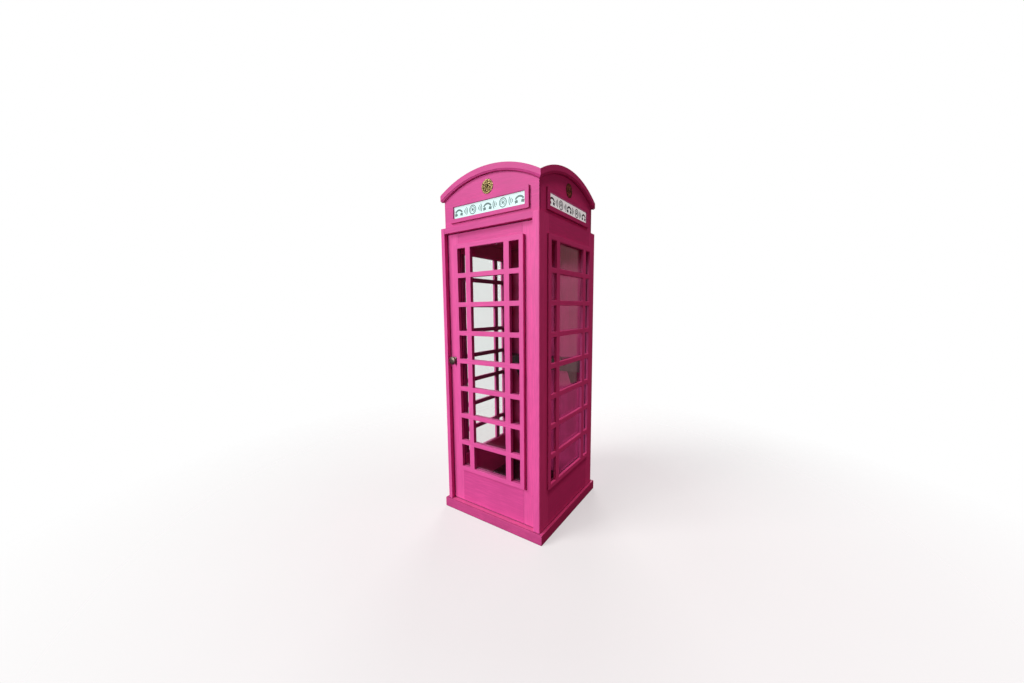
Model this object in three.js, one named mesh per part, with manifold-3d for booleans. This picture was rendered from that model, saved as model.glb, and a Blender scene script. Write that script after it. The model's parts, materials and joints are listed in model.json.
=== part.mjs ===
// A painted timber telephone booth with one hinged, glazed door.
// Millimetres, +Z up. The origin is on the floor, at the centre of the footprint.
// The door is on the -Y face: its knob is on the -X side and its hinges are on the +X side.
import * as THREE from 'three';
import { mergeVertices } from 'three/addons/utils/BufferGeometryUtils.js';
import Module from 'manifold-3d';

const wasm = await Module();
wasm.setup();

// ---------- driving dimensions ----------
const GAP = 0.3;                 // clearance between touching pieces
const BODY_HALF_X = 405;         // outer faces of the lower body
const BODY_HALF_Y = 438;
const BODY_TOP = 2100;           // ledge under the sign box
const WALL = 22;                 // thickness of side and back panels
const POST_DEPTH = 118;          // posts, measured front to back
const POST_SIDE = 34;            // post width, except the post that carries the hinges
const POST_HINGE = 47;
const CORNER_RADIUS = 7;         // rounding on the outer corner of each post

const PLINTH_HEIGHT = 70;
const PLINTH_PROUD = { x: 22, y: 12 };
const DECK_THICKNESS = 18;
const BEARER_WIDTH = 42;
const HEAD_BOTTOM = 2062;        // underside of the head over the door

const PANE_BOTTOM = 361;         // glazed field, the same height on door and walls
const PANE_TOP = 1950;
const ROWS = 8;
const BAR_HEIGHT = 33;           // face width of the level glazing bars
const BEAD = 32;                 // face width of the frame round the glazed field
const REBATE = 12;               // how far the wall opening reaches under that frame
const BAR_SINK = 6;              // how far the bars reach back into the opening
const GLASS = 5;
const DOOR_FIELD = { half: 256, bar: 42, narrow: 73, proud: 24, shift: 2.5 };
const WALL_FIELD = { half: 308, bar: 46, narrow: 72, proud: 14 };

const DOOR_RECESS = 34;          // door face behind the post faces
const DOOR_THICKNESS = 35;
const DOOR_GAP = 3;
const STOP = { width: 20, depth: 16 };
const KNOB = { x: -327, z: 1155, radius: 31, length: 44, rose: 25, neck: 9 };
const CATCH = { radius: 5, length: 18, proud: 2, travel: 2 };
const STRIKE = { width: 22, height: 60, thickness: 1.5 };

const HINGE = {
  height: 90, plate: 2.5, radius: 6, pin: 2.5, bore: 2.8, leaf: 18,
  levels: [250, 1066, 1880], fromPost: 7, fromDoor: 6.9, middle: 15,
};

const BOX_INSET = { x: 18, y: 31 };   // sign box, in from the lower body
const FASCIA = 20;
const ARCH_SPRING = 2331;        // top of the arch at the corners
const ARCH_CROWN = 2444;         // top of the arch at the middle
const ARCH_PROUD = 22;
const ARCH_HEIGHT = 47;
const ARCH_SLOPE = { start: 38, middle: 40, in: [3, 7] };   // the sloping underside of the moulding
const ARCH_STEPS = 24;
const SIGN = { half: 294, bottom: 2156, top: 2236, side: 28, rail: 26, proud: 15, panel: 2.5 };
const ROSETTE = { radius: 46, z: 2320 };
const ROOF = { below: 8, thickness: 9 };

const SHELF = { bottom: 1022, top: 1115, depth: 143, board: 18 };
const BRACKET = { x: 258, width: 46, bottom: 896, foot: 22, setback: 30, lap: 5 };
const PHONE = { x: -75, width: 190, depth: 118, height: 88, nose: 26, back: 60, chamfer: 6, wallGap: 4 };
const HORN = { x: 42, y: 17, width: 10, thickness: 8, height: 22 };
const DIAL = { radius: 35, thickness: 4, lift: 3, holes: 10, places: 12, hole: 5.5, ring: 26 };
const HANDSET = { y: -30, length: 205, cup: 27, cupHeight: 30, grip: 11, under: 26, over: 44, shoulder: 16 };

// ---------- derived dimensions ----------
const BOX_HALF_X = BODY_HALF_X - BOX_INSET.x;
const BOX_HALF_Y = BODY_HALF_Y - BOX_INSET.y;
const OPENING_Y = BODY_HALF_Y - POST_DEPTH;
const INNER_X = BODY_HALF_X - WALL;
const INNER_Y = BODY_HALF_Y - WALL;
const DOORWAY = { left: -(BODY_HALF_X - POST_SIDE), right: BODY_HALF_X - POST_HINGE };
const DOOR_LEFT = DOORWAY.left + DOOR_GAP;
const DOOR_RIGHT = DOORWAY.right - DOOR_GAP;
const DOOR_MIDDLE = (DOORWAY.left + DOORWAY.right) / 2 + DOOR_FIELD.shift;
const DOOR_FACE = -BODY_HALF_Y + DOOR_RECESS;
const DOOR_BACK = DOOR_FACE + DOOR_THICKNESS;
const DOOR_BOTTOM = PLINTH_HEIGHT + DOOR_GAP;
const DOOR_TOP = HEAD_BOTTOM - DOOR_GAP;
const CUT_BOTTOM = PANE_BOTTOM - REBATE;
const CUT_TOP = PANE_TOP + REBATE;
const PIVOT = { x: DOORWAY.right - HINGE.fromPost, y: DOOR_FACE - HINGE.fromDoor };

// ---------- finishes ----------
const finish = (color, roughness, metalness, more = {}) => ({ color, roughness, metalness, ...more });
const PINK = finish(0xe0609c, 0.42, 0);
const DEEP_PINK = finish(0x7a1038, 0.5, 0);
const DARK_FLOOR = finish(0x241a1e, 0.7, 0);
const BLACK_PAINT = finish(0x1a1d1a, 0.5, 0);
const BLACK_PLASTIC = finish(0x0c0c0d, 0.25, 0);
const BRASS = finish(0xb59a5a, 0.35, 1);
const PEWTER = finish(0x9a8f7c, 0.35, 1);
const STEEL = finish(0xa9a9a6, 0.4, 1);
const OPAL = finish(0xe4f4ee, 0.3, 0);
const CLEAR = finish(0xdfe9e6, 0.05, 0, { transparent: true, opacity: 0.3 });

// ---------- small builders ----------
function mesh(name, geometry, look) {
  const piece = new THREE.Mesh(geometry, new THREE.MeshStandardMaterial(look));
  piece.name = name;
  return piece;
}

function block(name, look, [x0, x1], [y0, y1], [z0, z1]) {
  const piece = mesh(name, new THREE.BoxGeometry(x1 - x0, y1 - y0, z1 - z0), look);
  piece.position.set((x0 + x1) / 2, (y0 + y1) / 2, (z0 + z1) / 2);
  return piece;
}

function blockGeometry([x0, x1], [y0, y1], [z0, z1]) {
  const geometry = new THREE.BoxGeometry(x1 - x0, y1 - y0, z1 - z0);
  return geometry.translate((x0 + x1) / 2, (y0 + y1) / 2, (z0 + z1) / 2);
}

const outline = (points) => new THREE.Shape(points.map(([x, y]) => new THREE.Vector2(x, y)));
const rectangle = (x0, x1, y0, y1) => outline([[x0, y0], [x1, y0], [x1, y1], [x0, y1]]);

function extrude(shape, depth, curveSegments = 12) {
  return new THREE.ExtrudeGeometry(shape, { depth, bevelEnabled: false, curveSegments });
}

// A shape drawn in X and Z, extruded from yBack towards -Y.
function upright(shape, depth, yBack) {
  return extrude(shape, depth).rotateX(Math.PI / 2).translate(0, yBack, 0);
}

// A side outline drawn in Y and Z, extruded from x0 towards +X.
function sideways(shape, width, x0) {
  return extrude(shape, width).rotateX(Math.PI / 2).rotateZ(Math.PI / 2).translate(x0, 0, 0);
}

// A plan shape drawn in X and Y, extruded upwards from z0.
function prism(shape, z0, z1, curveSegments) {
  return extrude(shape, z1 - z0, curveSegments).translate(0, 0, z0);
}

function solid(geometry) {
  const bare = geometry.clone();
  bare.deleteAttribute('normal');
  bare.deleteAttribute('uv');
  const merged = mergeVertices(bare, 1e-4);
  return new wasm.Manifold(new wasm.Mesh({
    numProp: 3,
    vertProperties: Float32Array.from(merged.attributes.position.array),
    triVerts: Uint32Array.from(merged.index.array),
  }));
}

function geometryOf(manifold) {
  const result = manifold.getMesh();
  const geometry = new THREE.BufferGeometry();
  geometry.setAttribute('position', new THREE.BufferAttribute(Float32Array.from(result.vertProperties), 3));
  geometry.setIndex(new THREE.BufferAttribute(Uint32Array.from(result.triVerts), 1));
  geometry.computeVertexNormals();
  return geometry;
}

function joined(...geometries) {
  return geometryOf(geometries.map(solid).reduce((whole, piece) => whole.add(piece)));
}

function cutFrom(geometry, ...tools) {
  return geometryOf(tools.map(solid).reduce((whole, tool) => whole.subtract(tool), solid(geometry)));
}

function circleHole(radius, x, y) {
  const path = new THREE.Path();
  path.absarc(x, y, radius, 0, Math.PI * 2, true);
  return path;
}

// The four faces share one drawing, made for the front and turned about Z.
const FACES = [
  { name: 'front', turn: 0, half: BOX_HALF_X, reach: BOX_HALF_Y },
  { name: 'right', turn: Math.PI / 2, half: BOX_HALF_Y, reach: BOX_HALF_X },
  { name: 'back', turn: Math.PI, half: BOX_HALF_X, reach: BOX_HALF_Y },
  { name: 'left', turn: -Math.PI / 2, half: BOX_HALF_Y, reach: BOX_HALF_X },
];

// ---------- plinth and floor ----------
function plinthBoard({ name, turn }) {
  const along = turn % Math.PI === 0 ? 'x' : 'y';
  const half = along === 'x' ? BODY_HALF_X : BODY_HALF_Y;
  const reach = along === 'x' ? BODY_HALF_Y : BODY_HALF_X;
  const inner = reach + GAP;
  const outer = reach + (along === 'x' ? PLINTH_PROUD.y : PLINTH_PROUD.x);
  const tip = half + PLINTH_PROUD[along] - GAP;
  const shape = outline([[-half, -inner], [-tip, -outer], [tip, -outer], [half, -inner]]);
  const board = mesh(`plinth_${name}`, prism(shape, 0, PLINTH_HEIGHT), PINK);
  board.rotation.z = turn;
  return board;
}

function deckOutline() {
  const x = INNER_X - GAP;
  const y = OPENING_Y - GAP;
  const postX = BODY_HALF_X - POST_SIDE - GAP;
  const back = INNER_Y - GAP;
  return outline([
    [-x, -y], [x, -y], [x, y], [postX, y], [postX, back], [-postX, back], [-postX, y], [-x, y],
  ]);
}

function addBase(booth) {
  FACES.forEach((face) => booth.add(plinthBoard(face)));
  const doorway = [DOORWAY.left + GAP, DOORWAY.right - GAP];
  const postY = [-BODY_HALF_Y, -OPENING_Y - GAP];
  booth.add(block('sill', PINK, doorway, postY, [0, PLINTH_HEIGHT]));
  const bearerTop = PLINTH_HEIGHT - DECK_THICKNESS - GAP;
  const outer = INNER_X - GAP;
  const run = [-OPENING_Y + GAP, OPENING_Y - GAP];
  booth.add(block('bearer_left', DEEP_PINK, [-outer, -outer + BEARER_WIDTH], run, [0, bearerTop]));
  booth.add(block('bearer_right', DEEP_PINK, [outer - BEARER_WIDTH, outer], run, [0, bearerTop]));
  const deck = prism(deckOutline(), PLINTH_HEIGHT - DECK_THICKNESS, PLINTH_HEIGHT);
  booth.add(mesh('floor_deck', deck, DARK_FLOOR));
}

// ---------- posts, walls and head ----------
// A post seen from above, with its outer corner rounded; sx and sy say which corner it stands at.
function postGeometry(width, sx, sy) {
  const r = CORNER_RADIUS;
  const shape = new THREE.Shape();
  shape.moveTo(-width, -POST_DEPTH);
  shape.lineTo(0, -POST_DEPTH);
  shape.lineTo(0, -r);
  shape.absarc(-r, -r, r, 0, Math.PI / 2, false);
  shape.lineTo(-width, 0);
  shape.closePath();
  const post = prism(shape, 0, BODY_TOP, 6);
  if (sx * sy < 0) post.applyMatrix4(new THREE.Matrix4().makeScale(-1, 1, 1));
  if (sx * sy < 0) flipFaces(post);
  const turned = sy > 0 ? post : post.rotateZ(Math.PI);
  return turned.translate(sx * BODY_HALF_X, sy * BODY_HALF_Y, 0);
}

function flipFaces(geometry) {
  const position = geometry.attributes.position;
  const corner = new THREE.Vector3();
  const other = new THREE.Vector3();
  for (let i = 0; i < position.count; i += 3) {
    corner.fromBufferAttribute(position, i);
    other.fromBufferAttribute(position, i + 1);
    position.setXYZ(i, other.x, other.y, other.z);
    position.setXYZ(i + 1, corner.x, corner.y, corner.z);
  }
  geometry.computeVertexNormals();
}

function strikePocket(extra) {
  const y = (DOOR_FACE + DOOR_BACK) / 2;
  const x = DOORWAY.left;
  return blockGeometry(
    [x - STRIKE.thickness - extra, x + extra],
    [y - STRIKE.width / 2 - extra, y + STRIKE.width / 2 + extra],
    [KNOB.z - STRIKE.height / 2 - extra, KNOB.z + STRIKE.height / 2 + extra],
  );
}

function addPosts(booth) {
  const latchPost = cutFrom(postGeometry(POST_SIDE, -1, -1), strikePocket(GAP));
  booth.add(mesh('post_front_left', latchPost, PINK));
  booth.add(mesh('post_front_right', postGeometry(POST_HINGE, 1, -1), PINK));
  booth.add(mesh('post_back_left', postGeometry(POST_SIDE, -1, 1), PINK));
  booth.add(mesh('post_back_right', postGeometry(POST_SIDE, 1, 1), PINK));
}

function addWalls(booth) {
  const run = [-OPENING_Y + GAP, OPENING_Y - GAP];
  for (const [side, sign] of [['left', -1], ['right', 1]]) {
    const across = [sign * BODY_HALF_X, sign * INNER_X].sort((a, b) => a - b);
    booth.add(block(`lower_panel_${side}`, PINK, across, run, [0, CUT_BOTTOM]));
    booth.add(block(`top_rail_${side}`, PINK, across, run, [CUT_TOP, BODY_TOP]));
  }
  const backHalf = BODY_HALF_X - POST_SIDE - GAP;
  booth.add(block('back_panel', PINK, [-backHalf, backHalf], [INNER_Y, BODY_HALF_Y], [0, BODY_TOP]));
  const doorway = [DOORWAY.left + GAP, DOORWAY.right - GAP];
  booth.add(block('head_front', PINK, doorway, [-BODY_HALF_Y, -OPENING_Y - GAP], [HEAD_BOTTOM, BODY_TOP]));
  booth.add(mesh('ceiling_board', prism(deckOutline(), HEAD_BOTTOM, BODY_TOP - GAP), DEEP_PINK));
}

// ---------- glazing ----------
function paneColumns({ half, bar, narrow }) {
  return [[-half, -half + narrow], [-half + narrow + bar, half - narrow - bar], [half - narrow, half]];
}

function paneRows() {
  const pane = (PANE_TOP - PANE_BOTTOM - (ROWS - 1) * BAR_HEIGHT) / ROWS;
  return Array.from({ length: ROWS }, (_, row) => {
    const top = PANE_TOP - row * (pane + BAR_HEIGHT);
    return [top - pane, top];
  });
}

// A board with the pane openings cut through it, drawn about the face plane at y = 0.
function paneGrid(field, margin, y) {
  const reach = field.half + margin;
  const board = blockGeometry([-reach, reach], y, [PANE_BOTTOM - margin, PANE_TOP + margin]);
  const through = [y[0] - 1, y[1] + 1];
  const panes = paneColumns(field).flatMap((x) => paneRows().map((z) => blockGeometry(x, through, z)));
  return cutFrom(board, ...panes);
}

// Frame and bars in one: the frame lies on the face, and the bars reach back into the opening.
function glazingBars(field) {
  const face = paneGrid(field, BEAD, [-field.proud, -GAP]);
  const inside = paneGrid(field, REBATE - GAP, [-GAP - 1, BAR_SINK]);
  return joined(face, inside);
}

function glassSheet(field) {
  const reach = field.half + REBATE - GAP;
  const back = BAR_SINK + GAP + GLASS;
  return blockGeometry(
    [-reach, reach],
    [BAR_SINK + GAP, back],
    [CUT_BOTTOM + GAP, CUT_TOP - GAP],
  );
}

function addWallGlazing(booth) {
  for (const [side, turn] of [['left', -Math.PI / 2], ['right', Math.PI / 2]]) {
    const wall = new THREE.Group();
    wall.rotation.z = turn;
    const bars = mesh(`glazing_bars_${side}`, glazingBars(WALL_FIELD), PINK);
    const glass = mesh(`glass_${side}`, glassSheet(WALL_FIELD), CLEAR);
    for (const piece of [bars, glass]) {
      piece.position.y = -BODY_HALF_X;
      wall.add(piece);
    }
    booth.add(wall);
  }
}

// ---------- door ----------
function catchBore(radius, depth) {
  const bore = new THREE.CylinderGeometry(radius, radius, depth, 16);
  return bore.rotateZ(Math.PI / 2).translate(depth / 2, (DOOR_FACE + DOOR_BACK) / 2, KNOB.z);
}

function addDoorLeaf(booth) {
  const thick = [DOOR_FACE, DOOR_BACK];
  const cutLeft = DOOR_MIDDLE - DOOR_FIELD.half - REBATE;
  const cutRight = DOOR_MIDDLE + DOOR_FIELD.half + REBATE;
  const tall = [DOOR_BOTTOM, DOOR_TOP];
  const boreDepth = CATCH.length + CATCH.travel + 2;
  const bore = catchBore(CATCH.radius + GAP, boreDepth + 1).translate(DOOR_LEFT - 1, 0, 0);
  const latchStile = cutFrom(blockGeometry([DOOR_LEFT, cutLeft - GAP], thick, tall), bore);
  booth.add(mesh('door_stile_latch', latchStile, PINK));
  booth.add(block('door_stile_hinge', PINK, [cutRight + GAP, DOOR_RIGHT], thick, tall));
  booth.add(block('door_top_rail', PINK, [cutLeft, cutRight], thick, [CUT_TOP, DOOR_TOP]));
  booth.add(block('door_lower_panel', PINK, [cutLeft, cutRight], thick, [DOOR_BOTTOM, CUT_BOTTOM]));
}

function addDoorGlazing(booth) {
  const bars = mesh('door_glazing_bars', glazingBars(DOOR_FIELD), PINK);
  const glass = mesh('door_glass', glassSheet(DOOR_FIELD), CLEAR);
  for (const piece of [bars, glass]) {
    piece.position.set(DOOR_MIDDLE, DOOR_FACE, 0);
    booth.add(piece);
  }
}

function turned(points, segments) {
  return new THREE.LatheGeometry(points.map(([r, h]) => new THREE.Vector2(r, h)), segments);
}

function addKnobAndCatch(booth) {
  const { radius, length, rose, neck } = KNOB;
  const profile = [
    [0, 0], [rose, 0], [rose, 3], [rose - 4, 6], [neck + 3, 7], [neck, 12], [neck, length - 24],
    [radius * 0.72, length - 20], [radius * 0.95, length - 15], [radius, length - 10],
    [radius * 0.95, length - 5], [radius * 0.7, length - 1.5], [0, length],
  ];
  const knob = mesh('knob', turned(profile, 24), PEWTER);
  knob.rotation.x = Math.PI;
  knob.position.set(KNOB.x, DOOR_FACE - GAP, KNOB.z);
  booth.add(knob);

  const r = CATCH.radius;
  const tip = CATCH.length;
  const nose = [[0, 0], [r, 0], [r, tip - r], [r * 0.85, tip - r * 0.5], [r * 0.5, tip - r * 0.15], [0, tip]];
  const plunger = mesh('catch_plunger', turned(nose, 16), STEEL);
  plunger.rotation.z = Math.PI / 2;
  plunger.position.set(DOOR_LEFT - CATCH.proud + CATCH.length, (DOOR_FACE + DOOR_BACK) / 2, KNOB.z);
  booth.add(plunger);

  booth.add(mesh('strike_plate', strikePocket(0), STEEL));
  const stopX = [DOORWAY.left + GAP, DOORWAY.left + GAP + STOP.width];
  const stopY = [DOOR_BACK + GAP, DOOR_BACK + GAP + STOP.depth];
  booth.add(block('door_stop', PINK, stopX, stopY, [DOOR_BOTTOM, DOOR_TOP]));
}

// ---------- hinges ----------
function barrel(radius, z0, z1, hole = 0) {
  const shape = new THREE.Shape();
  shape.absarc(0, 0, radius, 0, Math.PI * 2, false);
  if (hole > 0) shape.holes.push(circleHole(hole, 0, 0));
  return prism(shape, z0, z1, 10);
}

// Drawn about the pin's axis, with the post on the +X side and the door on the +Y side.
function postLeaf() {
  const { radius, height, middle, plate, leaf, fromPost } = HINGE;
  const x = [fromPost - GAP - plate, fromPost - GAP];
  const half = height / 2;
  const reach = -radius - GAP;
  const flat = blockGeometry(x, [reach - leaf + radius, reach], [-half, half]);
  const knuckles = [[-half, -middle - GAP], [middle + GAP, half]].flatMap((z) => [
    barrel(radius, z[0], z[1]),
    blockGeometry(x, [reach - 1, 0], z),
  ]);
  return joined(flat, ...knuckles, barrel(HINGE.pin, -half, half));
}

function doorLeaf() {
  const { radius, height, middle, plate, leaf, fromDoor, bore } = HINGE;
  const y = [fromDoor - GAP - plate, fromDoor - GAP];
  const half = height / 2;
  const edge = -radius - GAP;
  const flat = blockGeometry([edge - leaf + radius, edge], y, [-half, half]);
  const tab = cutFrom(
    blockGeometry([edge - 1, 0], y, [-middle, middle]),
    barrel(radius - 1, -middle - 1, middle + 1),
  );
  return joined(flat, tab, barrel(radius, -middle, middle, bore));
}

function addHinges(booth) {
  HINGE.levels.forEach((z, index) => {
    const hinge = new THREE.Group();
    hinge.position.set(PIVOT.x, PIVOT.y, z);
    hinge.add(mesh(`hinge_${index + 1}_post_leaf`, postLeaf(), STEEL));
    hinge.add(mesh(`hinge_${index + 1}_door_leaf`, doorLeaf(), STEEL));
    booth.add(hinge);
  });
}

// ---------- sign box ----------
// Height of the arch above the floor, for s from -1 at one corner to 1 at the other.
function archHeight(s) {
  const half = BOX_HALF_X + ARCH_PROUD;
  const rise = ARCH_CROWN - ARCH_SPRING;
  const radius = (half * half + rise * rise) / (2 * rise);
  return ARCH_CROWN - radius + Math.sqrt(radius * radius - (s * half) ** 2);
}

function archStations(limit) {
  return Array.from({ length: ARCH_STEPS + 1 }, (_, i) => limit * ((2 * i) / ARCH_STEPS - 1));
}

function archShape(halfWidth, unit, bottom, drop) {
  const top = archStations(halfWidth / unit).map((s) => [s * unit, archHeight(s) - drop]).reverse();
  return outline([[-halfWidth, bottom], [halfWidth, bottom], ...top]);
}

function signFrame() {
  const { half, bottom, top, side, rail, proud } = SIGN;
  const shape = rectangle(-half - side, half + side, bottom - rail, top + rail);
  shape.holes.push(new THREE.Path([[-half, bottom], [-half, top], [half, top], [half, bottom]]
    .map(([x, z]) => new THREE.Vector2(x, z))));
  return upright(shape, proud + 1, 1);
}

// The faces on X fit between the front and back fascias.
function fascia({ name, half, reach }) {
  const fitted = name === 'front' || name === 'back' ? half : half - FASCIA - GAP;
  const board = upright(archShape(fitted, half, BODY_TOP + GAP, 0), FASCIA, FASCIA);
  const piece = mesh(`fascia_${name}`, joined(board, signFrame()), PINK);
  piece.position.y = -reach;
  return piece;
}

// A section swept along the arch. The outer face is wider than the inner one, so the ends are mitred.
function archMoulding({ name, half, reach }) {
  const { start, middle, in: [upper, lower] } = ARCH_SLOPE;
  const section = [
    [GAP, 0], [ARCH_PROUD, 0], [ARCH_PROUD, start],
    [ARCH_PROUD - upper, middle], [ARCH_PROUD - lower, ARCH_HEIGHT], [GAP, ARCH_HEIGHT],
  ];
  const limit = 1 - GAP / half;
  const stations = archStations(limit);
  const vertices = stations.flatMap((s) => section.flatMap(
    ([out, drop]) => [s * (half + out), -reach - out, archHeight(s) - drop],
  ));
  const n = section.length;
  const faces = [];
  for (let i = 0; i + 1 < stations.length; i += 1) {
    for (let j = 0; j < n; j += 1) {
      const a = i * n + j;
      const b = i * n + ((j + 1) % n);
      faces.push(a, b, b + n, a, b + n, a + n);
    }
  }
  const last = (stations.length - 1) * n;
  for (let j = 1; j + 1 < n; j += 1) {
    faces.push(0, j + 1, j);
    faces.push(last, last + j, last + j + 1);
  }
  const geometry = new THREE.BufferGeometry();
  geometry.setAttribute('position', new THREE.Float32BufferAttribute(vertices, 3));
  geometry.setIndex(faces);
  geometry.computeVertexNormals();
  return mesh(`arch_moulding_${name}`, geometry, PINK);
}

function signPanel({ name, reach }) {
  const { half, bottom, top, panel } = SIGN;
  return block(
    `sign_panel_${name}`, OPAL,
    [-half + GAP, half - GAP], [-reach - GAP - panel, -reach - GAP], [bottom + GAP, top - GAP],
  );
}

function rosette({ name, reach }) {
  const r = ROSETTE.radius;
  const profile = [
    [0, 0], [r, 0], [r, 4], [r * 0.92, 7], [r * 0.8, 7], [r * 0.72, 4], [r * 0.5, 4.5],
    [r * 0.42, 9], [r * 0.2, 11.5], [0, 12],
  ];
  const piece = mesh(`rosette_${name}`, turned(profile, 24), BRASS);
  piece.rotation.x = Math.PI;
  piece.position.set(0, -reach - GAP, ROSETTE.z);
  return piece;
}

function addSignBox(booth) {
  for (const face of FACES) {
    const side = new THREE.Group();
    side.rotation.z = face.turn;
    side.add(fascia(face), archMoulding(face), signPanel(face), rosette(face));
    booth.add(side);
  }
}

// Two crossed barrels, each following the arch of the faces that it runs between.
function addRoof(booth) {
  const halfX = BOX_HALF_X - FASCIA - GAP;
  const halfY = BOX_HALF_Y - FASCIA - GAP;
  const barrels = (drop, extra) => {
    const bottom = ARCH_SPRING - 60 - extra;
    const [reachX, reachY] = [halfX + extra, halfY + extra];
    const along = upright(archShape(reachX, BOX_HALF_X, bottom, drop), 2 * reachY, reachY);
    const across = upright(archShape(reachY, BOX_HALF_Y, bottom, drop), 2 * reachX, reachX);
    return solid(along).add(solid(across.rotateZ(Math.PI / 2)));
  };
  const skin = barrels(ROOF.below, 0).subtract(barrels(ROOF.below + ROOF.thickness, 5));
  booth.add(mesh('roof_skin', geometryOf(skin), DEEP_PINK));
}

// ---------- shelf and telephone ----------
function addShelf(booth) {
  const half = BODY_HALF_X - POST_SIDE - GAP;
  const back = INNER_Y - GAP;
  const front = back - SHELF.depth;
  const { top, bottom, board } = SHELF;
  const { x: bracketX, width, bottom: low, foot, setback, lap } = BRACKET;
  const side = outline([
    [back - foot, low], [back, low], [back, top - lap], [front + setback, top - lap],
    [front + setback, bottom + board],
  ]);
  const geometry = joined(
    blockGeometry([-half, half], [front, back], [top - board, top]),
    blockGeometry([-half, half], [front, front + board], [bottom, top - 1]),
    sideways(side, width, -bracketX - width / 2),
    sideways(side, width, bracketX - width / 2),
  );
  booth.add(mesh('shelf', geometry, BLACK_PAINT));
}

// The telephone's own frame: its back at y = 0, its foot at z = 0, and x = 0 in the middle.
const SLOPE_BOTTOM = [-PHONE.depth, PHONE.nose];
const SLOPE_TOP = [-PHONE.back, PHONE.height];

function phoneBody() {
  const { width, depth, height, chamfer } = PHONE;
  const side = outline([
    [-depth, 0], [0, 0], [0, height - chamfer], [-chamfer, height], SLOPE_TOP, SLOPE_BOTTOM,
  ]);
  const horn = (x, y) => blockGeometry(
    [x - HORN.width / 2, x + HORN.width / 2],
    [y - HORN.thickness / 2, y + HORN.thickness / 2],
    [height - 2, height + HORN.height],
  );
  const horns = [-HORN.x, HORN.x].flatMap((x) => [-HORN.y, HORN.y].map((y) => horn(x, HANDSET.y + y)));
  return mesh('phone_body', joined(sideways(side, width, -width / 2), ...horns), BLACK_PLASTIC);
}

// The dial lies on the sloping face, a little clear of it.
function phoneDial() {
  const tilt = Math.atan2(SLOPE_TOP[1] - SLOPE_BOTTOM[1], SLOPE_TOP[0] - SLOPE_BOTTOM[0]);
  const shape = new THREE.Shape();
  shape.absarc(0, 0, DIAL.radius, 0, Math.PI * 2, false);
  for (let i = 1; i <= DIAL.holes; i += 1) {
    const angle = (i * Math.PI * 2) / DIAL.places;
    shape.holes.push(circleHole(DIAL.hole, DIAL.ring * Math.cos(angle), DIAL.ring * Math.sin(angle)));
  }
  const dial = mesh('phone_dial', extrude(shape, DIAL.thickness, 8), STEEL);
  dial.rotation.x = tilt;
  dial.position.set(
    0,
    (SLOPE_TOP[0] + SLOPE_BOTTOM[0]) / 2 - DIAL.lift * Math.sin(tilt),
    (SLOPE_TOP[1] + SLOPE_BOTTOM[1]) / 2 + DIAL.lift * Math.cos(tilt),
  );
  return dial;
}

function phoneHandset() {
  const { length, cup, cupHeight, grip, under, over, shoulder } = HANDSET;
  const reach = length / 2 - cup;
  const cupAt = (x) => new THREE.CylinderGeometry(cup * 0.75, cup, cupHeight, 20)
    .rotateX(Math.PI / 2)
    .translate(x, 0, cupHeight / 2);
  const half = [
    [reach - 10, under], [reach + 14, shoulder], [reach + 10, over - 10], [reach - shoulder, over],
  ];
  const mirrored = half.map(([x, z]) => [-x, z]).reverse();
  const handle = upright(outline([...half, ...mirrored]), 2 * grip, grip);
  const handset = mesh('phone_handset', joined(cupAt(-reach), cupAt(reach), handle), BLACK_PLASTIC);
  handset.position.set(0, HANDSET.y, PHONE.height + GAP);
  return handset;
}

function addTelephone(booth) {
  const phone = new THREE.Group();
  phone.position.set(PHONE.x, INNER_Y - GAP - PHONE.wallGap, SHELF.top + GAP);
  phone.add(phoneBody(), phoneDial(), phoneHandset());
  booth.add(phone);
}

// ---------- assembly ----------
const booth = new THREE.Group();
addBase(booth);
addPosts(booth);
addWalls(booth);
addWallGlazing(booth);
addDoorLeaf(booth);
addDoorGlazing(booth);
addKnobAndCatch(booth);
addHinges(booth);
addSignBox(booth);
addRoof(booth);
addShelf(booth);
addTelephone(booth);

export default booth;
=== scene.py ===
import json
import math

import bmesh
import bpy
from mathutils import Matrix, Vector


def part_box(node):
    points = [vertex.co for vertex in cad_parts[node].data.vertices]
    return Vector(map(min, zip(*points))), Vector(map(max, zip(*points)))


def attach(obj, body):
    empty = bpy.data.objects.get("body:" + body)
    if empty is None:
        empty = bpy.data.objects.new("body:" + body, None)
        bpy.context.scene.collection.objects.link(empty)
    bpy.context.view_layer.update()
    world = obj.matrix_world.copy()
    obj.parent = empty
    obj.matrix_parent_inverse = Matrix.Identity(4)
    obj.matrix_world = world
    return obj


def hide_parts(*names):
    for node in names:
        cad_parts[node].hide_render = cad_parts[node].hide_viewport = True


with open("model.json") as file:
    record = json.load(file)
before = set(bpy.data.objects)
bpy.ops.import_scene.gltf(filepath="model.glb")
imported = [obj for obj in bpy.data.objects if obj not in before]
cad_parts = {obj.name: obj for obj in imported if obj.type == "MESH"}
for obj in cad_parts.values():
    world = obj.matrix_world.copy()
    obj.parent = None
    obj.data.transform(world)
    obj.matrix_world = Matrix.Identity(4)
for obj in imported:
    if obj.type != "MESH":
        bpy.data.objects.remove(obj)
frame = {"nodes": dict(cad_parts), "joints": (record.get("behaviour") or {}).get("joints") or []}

# Looks of a painted timber telephone booth: finishes for its CAD nodes, and the fine pieces
# that they leave out (ornaments, sign pictures, screws, glazing beads and the telephone).

# ---------- driving values, in metres unless a name says otherwise ----------
CAMERA_PLACE = (1.4522, -2.2822, 1.5183)
CAMERA_AZIMUTH = math.radians(35.53)
CAMERA_PITCH = math.radians(6.53)
CAMERA_ROLL = math.radians(-0.71)
CAMERA_LENS = 12.236
CAMERA_SHIFT = (0.00835, 0.00836)

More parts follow.
